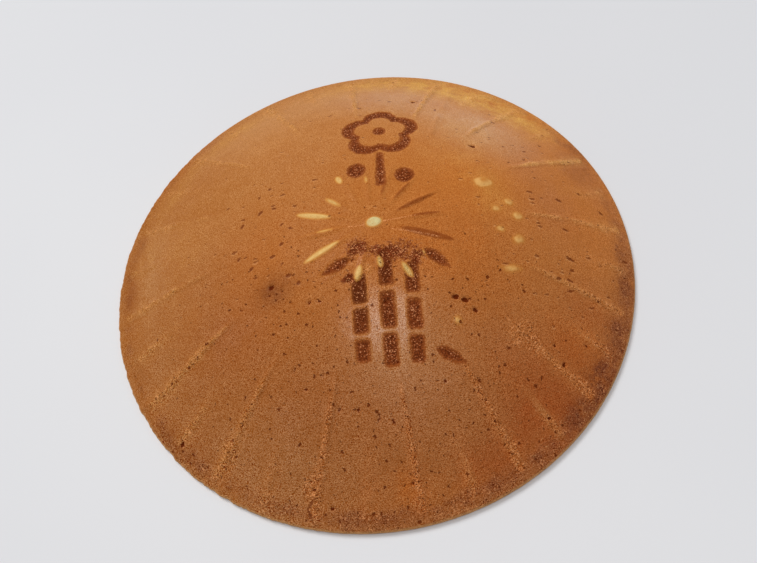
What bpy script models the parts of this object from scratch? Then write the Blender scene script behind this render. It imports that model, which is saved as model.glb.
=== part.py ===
# A thin domed senbei cracker, baked in a ribbed iron and pressed into the shape of a wide hat.
# Metres, +Z up. It rests on its rim at z = 0, with +X and +Y along two of its long ribs,
# and its two pressed marks read upright for someone who stands at -Y.

import math
import random

import bmesh
import bpy

# Outline and shell
RIM_RADIUS = 0.075
DOME_RISE = 0.0277  # crown above the rim's upper edge
SHELL_THICKNESS = 0.0026  # at the crown
EDGE_ROUND = 0.0009  # radius of the rounded outer edge
EDGE_LEAN = math.radians(20)  # slope of the dome where the rounded edge takes over
LIP_WIDTH = 0.0024  # flat ring that touches the table, edge round included
CROWN_CENTRE = (0.0042, -0.0045)  # the iron's pattern sits a little off the outline's middle
SHOULDER = 0.04  # fullness of the dome half way out
BRIM_EASE = 0.54  # how far the slope flattens out towards the rim

# Unevenness
WAVE_RISE = 0.0004  # slow waves of the whole shell
OUTLINE_WANDER = 0.0002  # slow in and out of the rim
RAGGED_DEPTH = 0.00028  # small chips along the left half of the rim
RAGGED_FROM = math.radians(130)
RAGGED_TO = math.radians(285)
SEED = 7

# Ribs, counted anticlockwise from +X; even ones are long
RIBS = 32
RIB_HALF_ANGLE = math.radians(1.2)
RIB_RISE = 0.00055
LONG_RIB_START = 0.50  # as a share of the way from the crown to the rim
SHORT_RIB_START = 0.74
RIB_GROWTH = 0.16  # share of the way that a rib takes to reach full height
RIB_END = 0.93
RIB_FADE = 0.03
RIM_RIB_SHARE = 0.35  # height that a rib keeps on the rim band
RIM_RIB_END = 0.98

# Rosette round the crown
DOT_RADIUS = 0.0019
DOT_RISE = 0.0004
DOT_STEP = 0.0004
PETAL_START = 0.0052
PETAL_END = 0.0212
PETAL_RISE = 0.00035

# Pressed marks: a plum blossom above the crown and bamboo below it
MARK_DEPTH = 0.0003
MARK_AXIS = (0.0067, -0.0045)  # where the marks' middle line passes the crown
MARK_TILT = math.radians(-5.7)
MARK_STROKE = 0.0036
BLOSSOM_MIDDLE = 0.0345  # up the middle line from the axis point
BLOSSOM_PETALS = 5
BLOSSOM_OUTSIDE = (0.0063, 0.0050)  # petal's middle from the blossom's middle, and petal radius
BLOSSOM_INSIDE = (0.0042, 0.0033)  # the same for the bare inside of the outline
BLOSSOM_EYE = 0.0019
STEM_LENGTH = 0.0130
STEM_START = 0.86  # from the blossom's middle, as a share of its reach
STEM_WIDTHS = (0.0020, 0.0029)  # at the blossom and at the foot
BUD_RADIUS = 0.0027
BUD_PLACES = ((-0.0066, 0.0182), (0.0064, 0.0152))
CULM_TOP = -0.0070
CULM_LENGTHS = (0.0215, 0.0300, 0.0255)
CULM_PLACES = (-0.0068, 0.0, 0.0064)
CULM_SLANT = 0.0022  # height of the slanting cut at a culm's top
CULM_SHIFTS = (-0.0070, 0.0, -0.0038)  # how far below CULM_TOP each culm begins
NODE_GAP = 0.0013  # bare gap at a culm's joint
NODE_SHARES = (0.36, 0.70)  # where the joints come along a culm
LEAF_LENGTH = 0.0085
LEAF_WIDTH = 0.0032
LEAF_SHAPE = ((0, 0), (0.35, -0.5), (0.7, -0.36), (1, 0), (0.7, 0.36), (0.35, 0.5))  # along, across
LEAVES = ((-0.0086, -0.0100, 205), (0.0098, -0.0085, -40), (0.0104, -0.0330, -25))

# Mesh density
COLUMNS_PER_RIB = 4
PETAL_RINGS = 6
FIELD_RINGS = 6
RIB_RINGS = 8
BAND_RINGS = 2
EDGE_STEPS = 4
UNDERSIDE_RINGS = 8
ROUND_POINTS = 8  # outline points on each blossom petal
MERGE = 0.00001

TOASTED = (0.40, 0.135, 0.036, 1.0)
SCORCHED = (0.085, 0.022, 0.007, 1.0)


def smooth_step(low, high, value):
    share = min(1.0, max(0.0, (value - low) / (high - low)))
    return share * share * (3 - 2 * share)


def dome_shape(share):
    """Height of the dome, from 1 at the crown to 0 at the rim."""
    return (1 - share**2) * (1 + SHOULDER * share**2 - BRIM_EASE * share**6)


def top_height(radius):
    """Height of the outside, which runs into the rounded edge at the rim."""
    edge_top = EDGE_ROUND * (1 + math.cos(EDGE_LEAN))
    edge_start = RIM_RADIUS - EDGE_ROUND * (1 - math.sin(EDGE_LEAN))
    lift = edge_top - DOME_RISE * dome_shape(edge_start / RIM_RADIUS)
    return lift + DOME_RISE * dome_shape(radius / RIM_RADIUS)


def underside_height(radius):
    crown = top_height(0) - SHELL_THICKNESS
    return crown * dome_shape(radius / (RIM_RADIUS - LIP_WIDTH))


def even_steps(start, end, count):
    return [start + (end - start) * step / count for step in range(count)]


def section_line():
    """Half section of the cracker: down the outside from the crown, round the rim, back underneath."""
    long_start = LONG_RIB_START * RIM_RADIUS
    rib_end = RIB_END * RIM_RADIUS
    edge_middle = RIM_RADIUS - EDGE_ROUND
    radii = [0, DOT_RADIUS / 2, DOT_RADIUS, DOT_RADIUS + DOT_STEP]
    radii += even_steps(PETAL_START, PETAL_END, PETAL_RINGS)
    radii += even_steps(PETAL_END, long_start, FIELD_RINGS)
    radii += even_steps(long_start, rib_end, RIB_RINGS)
    radii += even_steps(rib_end, edge_middle, BAND_RINGS)
    line = [(radius, top_height(radius)) for radius in radii]
    first = math.pi / 2 - EDGE_LEAN
    for step in range(EDGE_STEPS + 1):
        angle = first - (first + math.pi / 2) * step / EDGE_STEPS
        out = edge_middle + EDGE_ROUND * math.cos(angle)
        line.append((out, EDGE_ROUND * (1 + math.sin(angle))))
    lip = RIM_RADIUS - LIP_WIDTH
    for step in range(UNDERSIDE_RINGS + 1):
        radius = lip * (1 - step / UNDERSIDE_RINGS)
        line.append((radius, underside_height(radius)))
    return line


def turned_mesh(name, line, columns):
    """A mesh of revolution about Z from a section line that starts and ends on the axis."""
    mesh = bpy.data.meshes.new(name + " section")
    points = [(radius, 0, height) for radius, height in line]
    mesh.from_pydata(points, [(i, i + 1) for i in range(len(points) - 1)], [])
    guide = bpy.data.objects.new(name + " section", mesh)
    bpy.context.scene.collection.objects.link(guide)
    screw = guide.modifiers.new("Turn", "SCREW")
    screw.steps = columns
    screw.render_steps = columns
    screw.use_merge_vertices = True
    screw.merge_threshold = MERGE
    graph = bpy.context.evaluated_depsgraph_get()
    turned = bpy.data.meshes.new_from_object(guide.evaluated_get(graph))
    turned.name = name
    bpy.data.objects.remove(guide)
    bpy.data.meshes.remove(mesh)
    return turned


def rim_distance(angle):
    """Distance from the crown to the round outline in one direction."""
    x, y = CROWN_CENTRE
    along = x * math.cos(angle) + y * math.sin(angle)
    return math.sqrt(along**2 + RIM_RADIUS**2 - x**2 - y**2) - along


def outline_change(angle, chips):
    """How far the uneven rim stands out from a true circle."""
    slow = math.sin(2 * angle + 0.6) + 0.7 * math.sin(3 * angle - 1.1) + 0.4 * math.sin(5 * angle)
    ragged = 0.0
    if RAGGED_FROM < angle < RAGGED_TO:
        ragged = chips.uniform(-1, 0.3)
    return OUTLINE_WANDER * slow / 2 + RAGGED_DEPTH * ragged


def column_angle(column):
    """Direction of a column: each rib has a crest column with one at its foot on either side."""
    rib = round(column / COLUMNS_PER_RIB)
    side = column - rib * COLUMNS_PER_RIB
    middle = rib * math.tau / RIBS
    if abs(side) == 1:
        return middle + side * RIB_HALF_ANGLE
    return middle + side * math.tau / (RIBS * COLUMNS_PER_RIB)


def rib_height(rib, share):
    start = LONG_RIB_START if rib % 2 == 0 else SHORT_RIB_START
    grown = smooth_step(start, start + RIB_GROWTH, share)
    worn = 1 - (1 - RIM_RIB_SHARE) * smooth_step(RIB_END - RIB_FADE, RIB_END, share)
    gone = 1 - smooth_step(RIM_RIB_END - RIB_FADE, RIM_RIB_END, share)
    return RIB_RISE * grown * worn * gone


def petal_height(distance):
    """A narrow ridge of the rosette, highest at its middle."""
    along = (distance - PETAL_START) / (PETAL_END - PETAL_START)
    if not 0 < along < 1:
        return 0.0
    return PETAL_RISE * math.sin(math.pi * along)


def top_relief(column, share, distance):
    """Rise of the pressed pattern over the plain dome, which only the crest columns and the dot have."""
    relief = 0.0
    if distance < DOT_RADIUS + DOT_STEP / 2:
        relief += DOT_RISE
    if column % COLUMNS_PER_RIB == 0:
        rib = column // COLUMNS_PER_RIB
        relief += rib_height(rib, share)
        if rib % 2 == 0:
            relief += petal_height(distance)
    return relief


def slow_wave(angle, share):
    """Warp of the whole shell, nothing from the lip outwards so that the rim lies flat."""
    wave = math.sin(2 * angle + 0.9) + 0.6 * math.sin(3 * angle + 2.2) + 0.4 * math.cos(5 * angle)
    lip_share = 1 - LIP_WIDTH / RIM_RADIUS
    return WAVE_RISE * wave * share * max(0.0, 1 - (share / lip_share) ** 4)


def shape_cracker(mesh):
    """Turns the plain dome of revolution into the off-centre, ribbed and slightly warped cracker."""
    columns = RIBS * COLUMNS_PER_RIB
    chips = random.Random(SEED)
    angles = [column_angle(column) for column in range(columns)]
    changes = [outline_change(angle, chips) for angle in angles]
    for vertex in mesh.vertices:
        x, y, height = vertex.co
        turned = math.atan2(y, x) % math.tau
        column = round(turned / math.tau * columns) % columns
        angle = angles[column]
        radius = math.hypot(x, y)
        share = min(1.0, radius / RIM_RADIUS)
        distance = share * rim_distance(angle) + changes[column] * share**8
        on_top = height > (top_height(radius) + underside_height(radius)) / 2
        height += slow_wave(angle, share)
        if on_top:
            height += top_relief(column, share, radius)
        vertex.co.x = CROWN_CENTRE[0] + distance * math.cos(angle)
        vertex.co.y = CROWN_CENTRE[1] + distance * math.sin(angle)
        vertex.co.z = height


def centre_on_origin(mesh):
    """Brings the middle of the outline over the origin."""
    for axis in (0, 1):
        places = [vertex.co[axis] for vertex in mesh.vertices]
        middle = (min(places) + max(places)) / 2
        for vertex in mesh.vertices:
            vertex.co[axis] -= middle


def blossom_outline(petal_reach, petal_radius):
    """Outline of five overlapping round petals, as points round the blossom's middle."""
    points = []
    count = BLOSSOM_PETALS * ROUND_POINTS
    for step in range(count):
        angle = math.pi / 2 + step * math.tau / count
        petal = math.tau / BLOSSOM_PETALS
        off = (angle - math.pi / 2 + petal / 2) % petal - petal / 2
        reach = petal_reach * math.cos(off)
        reach += math.sqrt(petal_radius**2 - (petal_reach * math.sin(off)) ** 2)
        points.append((reach * math.cos(angle), BLOSSOM_MIDDLE + reach * math.sin(angle)))
    return points


def disc_outline(middle, radius, points):
    steps = [math.tau * step / points for step in range(points)]
    return [(middle[0] + radius * math.cos(a), middle[1] + radius * math.sin(a)) for a in steps]


def plum_outlines():
    top = BLOSSOM_MIDDLE - sum(BLOSSOM_OUTSIDE) * STEM_START
    foot = top - STEM_LENGTH
    top_half, foot_half = (width / 2 for width in STEM_WIDTHS)
    outlines = [blossom_outline(*BLOSSOM_OUTSIDE), blossom_outline(*BLOSSOM_INSIDE)]
    outlines.append(disc_outline((0, BLOSSOM_MIDDLE), BLOSSOM_EYE, ROUND_POINTS))
    outlines.append([(-top_half, top), (-foot_half, foot), (foot_half, foot), (top_half, top)])
    outlines += [disc_outline(place, BUD_RADIUS, ROUND_POINTS) for place in BUD_PLACES]
    return outlines


def culm_outlines(place, top, length):
    """One bamboo culm: upright strokes with a slanting top and bare joints between them."""
    left = place - MARK_STROKE / 2
    right = place + MARK_STROKE / 2
    joints = [0.0, *NODE_SHARES, 1.0]
    outlines = []
    for upper, lower in zip(joints, joints[1:]):
        high = top - length * upper - (NODE_GAP if upper > 0 else 0)
        low = top - length * lower
        slant = CULM_SLANT if upper == 0 else 0
        outlines.append([(left, high - slant), (left, low), (right, low), (right, high)])
    return outlines


def leaf_outline(x, y, degrees):
    """A narrow leaf, pointed at both ends, from its stalk outwards."""
    cos = math.cos(math.radians(degrees))
    sin = math.sin(math.radians(degrees))
    points = []
    for along, across in LEAF_SHAPE:
        out = along * LEAF_LENGTH
        side = across * LEAF_WIDTH
        points.append((x + out * cos - side * sin, y + out * sin + side * cos))
    return points


def bamboo_outlines():
    outlines = []
    for place, shift, length in zip(CULM_PLACES, CULM_SHIFTS, CULM_LENGTHS):
        outlines += culm_outlines(place, CULM_TOP + shift, length)
    return outlines + [leaf_outline(*leaf) for leaf in LEAVES]


def press_tool(name, outlines, collection):
    """An upright block with the given flat outlines, tall enough to pass through the shell."""
    curve = bpy.data.curves.new(name, "CURVE")
    curve.dimensions = "2D"
    curve.fill_mode = "BOTH"
    curve.extrude = DOME_RISE
    for points in outlines:
        spline = curve.splines.new("POLY")
        spline.points.add(len(points) - 1)
        for point, (x, y) in zip(spline.points, points):
            point.co = (x, y, 0, 1)
        spline.use_cyclic_u = True
    guide = bpy.data.objects.new(name + " outline", curve)
    bpy.context.scene.collection.objects.link(guide)
    graph = bpy.context.evaluated_depsgraph_get()
    mesh = bpy.data.meshes.new_from_object(guide.evaluated_get(graph))
    bpy.data.objects.remove(guide)
    block = bmesh.new()
    block.from_mesh(mesh)
    bmesh.ops.remove_doubles(block, verts=block.verts, dist=MERGE)
    bmesh.ops.recalc_face_normals(block, faces=block.faces)
    block.to_mesh(mesh)
    block.free()
    tool = bpy.data.objects.new(name, mesh)
    tool.location = (MARK_AXIS[0], MARK_AXIS[1], DOME_RISE)
    tool.rotation_euler.z = MARK_TILT
    tool.hide_render = True
    tool.display_type = "WIRE"
    collection.objects.link(tool)
    return tool


def cut_away(target, tool):
    cut = target.modifiers.new("Cut by " + tool.name, "BOOLEAN")
    cut.operation = "DIFFERENCE"
    cut.solver = "EXACT"
    cut.material_mode = "TRANSFER"
    cut.object = tool


def finish_material(name, colour, roughness):
    material = bpy.data.materials.new(name)
    material.use_nodes = True
    shader = material.node_tree.nodes["Principled BSDF"]
    shader.inputs["Base Color"].default_value = colour
    shader.inputs["Roughness"].default_value = roughness
    shader.inputs["Metallic"].default_value = 0.0
    return material


def new_collection(name):
    collection = bpy.data.collections.new(name)
    bpy.context.scene.collection.children.link(collection)
    return collection


def main():
    for item in list(bpy.data.objects):
        bpy.data.objects.remove(item, do_unlink=True)
    parts = new_collection("Senbei")
    cutters = new_collection("Cutters")
    toasted = finish_material("Toasted crust", TOASTED, 0.55)
    scorched = finish_material("Scorched mark", SCORCHED, 0.7)

    mesh = turned_mesh("cracker", section_line(), RIBS * COLUMNS_PER_RIB)
    shape_cracker(mesh)
    centre_on_origin(mesh)
    mesh.shade_smooth()
    mesh.set_sharp_from_angle(angle=math.radians(50))
    mesh.materials.append(toasted)
    cracker = bpy.data.objects.new("cracker", mesh)
    parts.objects.link(cracker)

    # The marks' floor follows the dome: each press stops at a copy of the shell set a little lower.
    floor = bpy.data.objects.new("mark floor", mesh)
    floor.location.z = -MARK_DEPTH
    floor.hide_render = True
    floor.display_type = "WIRE"
    cutters.objects.link(floor)
    for name, outlines in (("plum press", plum_outlines()), ("bamboo press", bamboo_outlines())):
        tool = press_tool(name, outlines, cutters)
        tool.data.materials.append(scorched)
        cut_away(tool, floor)
        cut_away(cracker, tool)


main()
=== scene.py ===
# A thin domed senbei, baked in a ribbed iron and shaped like a wide hat, resting on a pale table.
import math

import bpy
import numpy as np
from mathutils import Matrix, Vector, noise
from mathutils.kdtree import KDTree


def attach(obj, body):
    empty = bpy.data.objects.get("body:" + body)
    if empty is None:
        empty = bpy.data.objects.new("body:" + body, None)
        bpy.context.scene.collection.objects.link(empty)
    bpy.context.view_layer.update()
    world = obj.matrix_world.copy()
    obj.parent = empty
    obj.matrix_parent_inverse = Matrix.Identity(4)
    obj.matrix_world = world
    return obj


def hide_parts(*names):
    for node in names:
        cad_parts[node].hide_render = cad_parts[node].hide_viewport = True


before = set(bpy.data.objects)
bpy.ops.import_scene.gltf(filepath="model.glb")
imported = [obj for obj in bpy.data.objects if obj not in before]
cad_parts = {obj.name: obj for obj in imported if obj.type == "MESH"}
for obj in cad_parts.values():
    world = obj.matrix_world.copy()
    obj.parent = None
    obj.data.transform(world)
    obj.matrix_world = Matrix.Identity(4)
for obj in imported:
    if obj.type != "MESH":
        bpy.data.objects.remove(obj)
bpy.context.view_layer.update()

scene = bpy.context.scene
mm = 0.001  # in metres
metre = 1000.0  # in millimetres
turn = math.tau

# The cracker's form, in millimetres and degrees, the same values as the solid it stands for
form = {
    "rimRadius": 75.0,
    "domeRise": 27.7,
    "shell": 2.6,
    "edgeRound": 0.9,
    "edgeLean": 20,
    "lipWidth": 2.4,
    "crown": (4.2, -4.5),
    "shoulder": 0.04,
    "brimEase": 0.54,
    "slowWave": 0.4,
    "outlineWander": 0.2,
    "raggedDepth": 0.34,
    "raggedFrom": 130,
    "raggedTo": 285,
}

# Unevenness of the shell; a layer of noise has its feature size, its seed and its height or share
unevenness = {
    "partShift": 40.0,  # so that top, edge and underside each have noise of their own
    "chips": [(3.4, 3, 0.55), (1.0, 4, 0.9)],
    "chipsInwards": 0.2,
    "evenSideChips": 0.12,  # share of the chips on the even half of the rim
    "raggedEase": 8,
    "raggedFade": (60, 30),  # degrees before the end of the ragged stretch
    "rimPull": 14,  # the outline's changes die away inwards by this power
    "dents": [(15, 5, 0.14), (4.5, 6, 0.05)],
    "flatRim": (0.965, 0.93),  # the resting ring and the edge stay flat
    "skin": (1.3, 7, 2),  # feature size, seed, octaves
    "skinRise": 0.022,
    "undersideRise": 0.03,
    "crumb": (0.9, 10, 2),
    "crumbRise": 0.1,
    "crumbShares": (1.2, 0.55, 0.6),  # of the scorched band, the rim and the spokes
    "rimGrain": (0.925, 0.96),
    "edgeStaysSmooth": (0.985, 0.995),
}

# How finely the mesh is made
density = {
    "topRings": 160,
    "edgeSteps": 5,
    "underRings": 74,
}

# Raised spokes, counted anticlockwise from +X; even ones are long
ribs = {
    "count": 32,
    "halfAngle": 1.25,
    "rise": 0.55,
    "longStart": 0.50,
    "shortStart": 0.74,
    "growth": 0.16,
    "end": 0.93,
    "fade": 0.03,
    "rimShare": 0.35,
    "rimEnd": 0.98,
    "sideWobble": [(3.0, 8, 0.18)],
    "crestShare": 0.8,  # the steady part of a crest's height
    "crestWobble": [(5.0, 9, 0.5)],
    "grainShare": 0.22,
    "skirtWidth": 2.2,
    "skirtFrom": (0.65, 0.95),
    # how strongly each spoke came out of the iron
    "strength": [0.8, 0.5, 0.9, 0.6, 0.9, 0.7, 1.1, 0.8, 1.1, 0.9, 1.0, 0.7, 0.8, 0.6, 0.6, 0.5,
                 0.8, 0.8, 1.1, 0.8, 1.1, 0.7, 1.1, 0.6, 1.0, 0.7, 1.1, 0.8, 1.1, 0.8, 0.9, 0.6],
}

# Panels between the long spokes, each baked a little differently
panels = {
    "seed": 7,
    "from": (0.45, 0.65),
    "blend": 0.06,
}

# Rosette round the crown; the pale petals kept their cream colour
rosette = {
    "dot": (4.5, -4.4, 1.75, 1.3, 12),
    "dotRise": 0.4,
    "dotEdge": (2.3, 1.5),
    "dotHeight": 28.0,
    "dotFade": (4.0, 3.0),  # from its middle, where the dot's paler tone ends
    "petalStart": 5.2,
    "petalEnd": 21.2,
    "petalHalfWidth": 0.85,
    "petalRise": 0.35,
    # direction, start, end, half width
    "palePetals": [(113.8, 16.2, 19.6, 0.95), (90, 13.2, 15.8, 0.5), (136.8, 10.4, 15.8, 0.65),
                   (158, 11.2, 21.3, 1.0), (177.8, 10.2, 14.8, 0.5), (201.1, 9.8, 20.4, 1.0),
                   (270.5, 9.6, 13.0, 0.8), (247, 12.3, 16.6, 1.0), (294, 13.6, 18.2, 0.9)],
    "darkPetals": [(-22, 7.5, 21.0, 0.95), (1.5, 10.0, 17.5, 0.5), (21, 7.0, 18.0, 0.55),
                   (45, 9.0, 16.0, 0.4), (68, 9.0, 15.0, 0.4)],
}

# Pressed marks: plum blossom above the crown, bamboo below it
marks = {
    "depth": 0.3,
    "wall": (0.25, -0.9),  # where the skin starts to sink, and where it is fully down
    "floorGrain": 0.25,
    "axis": (6.7, -4.5),
    "tilt": -5.7,
    "stroke": 3.6,
    "corner": 0.8,
    "blossomMiddle": 34.5,
    "blossomPetals": 5,
    "blossomOutside": (6.3, 5.0),
    "blossomInside": (4.2, 3.3),
    "blossomEye": 1.9,
    "stemLength": 13.0,
    "stemStart": 0.86,
    "stemWidths": (2.0, 2.9),
    "budRadius": 2.7,
    "buds": [(-6.6, 18.2), (6.4, 15.2)],
    "culmTop": -7.0,
    "culmLengths": (21.5, 30.0, 25.5),
    "culmPlaces": (-6.8, 0.0, 6.4),
    "culmSlant": 2.2,
    "culmShifts": (-7.0, 0.0, -3.8),
    "nodeGap": 1.3,
    "nodeShares": (0.36, 0.70),
    "leafLength": 8.5,
    "leafWidth": 3.2,
    "leafOutline": ((0, 0.18, 0.35, 0.7, 1), (0, 0.34, 0.5, 0.36, 0)),  # along it, and its half width
    "leaves": [(-8.6, -10.0, 205), (9.8, -8.5, -40), (10.4, -33.0, -25)],
}

# How deep and how ragged the small features are
smallForms = {
    "pitDepth": 0.9,  # of its radius
    "pitDeepest": 0.62,
    "pitWall": (0.12, -0.7),  # outside its edge, and inside it as a share of its radius
    "pitRim": (0.25, 0.05),  # width and rise
    "pitRagged": [(0.8, 12, 0.2)],
    "pitReach": 1.6,
    "nickDepth": 0.14,
    "nickWall": (0.2, -0.3),
    "nickHighlight": (0.15, -0.5),  # where the painted highlight on the nick's lip lies, beside the nick
    "blisterRise": 0.3,  # of its radius
    "blisterRound": 1.4,
    "blisterTop": (0.25, 0.45, 0.75),  # shift of the lit top and its size, of the radius
    "creaseFade": 0.2,
    "edgeWall": (1.72, 1.4),  # heights between which the bared edge starts
    # the hair-fine rays of painted highlight beside the dot
    "rayReach": 1.5,
    "rayWidth": 1.2,
    "rayStart": (-0.6, 0.2),
    "rayFade": 0.7,
}

# Broken bubbles: x, y, radius, stretch along its length, direction of the length
pits = [
    (20.9, -27.1, 0.8, 1.2, 0), (23.2, -28, 0.86, 1.3, -15), (25.1, -30.6, 0.65, 1.5, -20),
    (4.1, -26.1, 0.5, 1.4, 30), (23.6, -50.7, 0.55, 1.2, -30), (38.6, -55.3, 0.52, 1.5, 20),
    (14.8, -45.8, 0.46, 1.2, 0), (45.1, -43.5, 0.55, 1.8, 60), (52.3, -39, 0.46, 1.5, -40),
    (43.7, -39.2, 0.46, 1.7, 35), (26.7, -58.9, 0.5, 1.2, -50), (-11.4, -47.9, 0.5, 1.3, 10),
    (-6.8, -48.8, 0.46, 1.5, 20), (-2.2, -51.1, 0.5, 1.6, 80), (0.9, -52.4, 0.34, 3.4, -72),
    (3.1, -65.5, 0.5, 1.2, 0), (-21, -63.1, 0.46, 1.6, 30), (-17.5, -67.7, 0.46, 2, 10),
    (-20.9, -37.4, 0.42, 2.4, 50), (-13.7, -39.8, 0.46, 1.3, 70), (-18.7, -42.1, 0.44, 1.4, -60),
    (-14.6, -22.4, 0.56, 1.5, 60), (-12, -22.7, 0.42, 2, -25), (-32.7, -19, 0.46, 1.5, -15),
    (-54.9, -44.9, 0.72, 1.2, 60), (-36.6, -45.7, 0.44, 1.2, 0), (-40.8, -53.1, 0.46, 1.3, 30),
    (-56.1, -29.6, 0.42, 1.5, 45), (-43.7, -23.9, 0.4, 3, 18), (35.2, 20.5, 0.62, 2.3, -10),
    (49.3, 16.8, 0.46, 1.7, 10), (4.4, -40.2, 0.52, 1.4, -10), (-24, -15.7, 0.8, 1.4, 20),
    (-21.2, -17.5, 0.46, 1.5, -30), (-24.8, -17.7, 0.46, 1.3, 0), (21.9, 46.5, 0.55, 2, 5),
]

# Shallow nicks, with painted shade in them and a painted highlight on their lip: x, y, radius, stretch,
# direction
nicks = [
    (-25.5, 8.1, 0.52, 2, 50), (-31.1, 5.8, 0.46, 1.6, 60), (-27.1, 3.9, 0.36, 1.5, 45),
    (-22.6, 15.8, 0.36, 1.4, 0), (-21.6, 8.1, 0.34, 2.2, -20), (-19.5, 2, 0.36, 2.4, 40),
    (-17.5, -0.1, 0.36, 2, -20), (-20.2, -4.3, 0.4, 1.6, 20), (-23, -7.1, 0.48, 2, 5),
    (-32.5, -4.4, 0.46, 1.6, 55), (-29.1, -8.7, 0.44, 1.6, 40), (-27.9, -11.6, 0.44, 1.6, 0),
    (-19.2, -13.9, 0.52, 1.4, 10), (-16.8, -16.7, 0.52, 1.1, 0), (-25.6, 13.9, 0.36, 2, 60),
    (-35.5, 14.6, 0.32, 1.8, 20), (-20.5, -10.1, 0.36, 1.8, 60), (-27.3, 19.9, 0.32, 1.6, 60),
    (55.3, 1.9, 0.55, 1.8, -25), (63, 6.3, 0.34, 3, -15), (68.2, 0.8, 0.36, 2.4, -45),
    (54.5, -8, 0.4, 2.4, -15), (53.5, -16.8, 0.42, 2.8, -30), (53.1, -20, 0.42, 1.8, 10),
    (48.6, -22.7, 0.5, 1.6, 10), (51.9, -22.9, 0.4, 2.4, -20), (70.9, -14.7, 0.42, 1.6, -20),
    (51.2, -25.6, 0.42, 2.4, 10), (-22.6, -65.8, 0.36, 4, 47), (-23.3, -67.7, 0.4, 3.2, -75),
    (15, 48.1, 0.42, 1.8, 0), (27.9, 40.4, 0.38, 1.6, 60), (11.9, 50.2, 0.34, 2, 0),
]

# Swollen pale spots: x, y, radius, stretch, direction
blisters = [
    (34.9, 5.5, 1.9, 1.3, 0), (40.2, -1.1, 1.1, 1.1, 0), (41.6, -5.6, 1.2, 1.1, 0),
    (40.2, -12.6, 1.2, 1.3, 30), (36.8, -20.6, 0.9, 2.2, 0), (36.4, -3.3, 0.8, 1.3, 0),
    (36.1, -9.6, 0.7, 1.3, 0), (15.2, -15.1, 0.75, 1.2, -20), (20.4, -32.6, 0.8, 1, 0),
]

# Rough patches where the skin came off in crumbs: x, y, radius, stretch, direction
crumbPatches = [
    (36.2, -37.2, 4.3, 1.3, -40), (-46.9, -25.7, 2.2, 1.9, 22), (-41.1, -49.9, 2.6, 1.5, 48),
    (-50.4, -41.2, 1.6, 1.4, 35), (-21.6, -62, 2.6, 1.6, 66), (24, -52, 1.4, 2.6, -67),
    (28, -61.8, 1.9, 2.2, -67), (49.3, -48.3, 1.7, 2.2, -45), (-56, -29.8, 1.6, 2.2, 22),
    (0.9, -17.3, 1.8, 1.2, 60), (67, -4.6, 1.6, 1.8, -4), (57.5, -26.5, 1.4, 2, -22),
]

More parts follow.
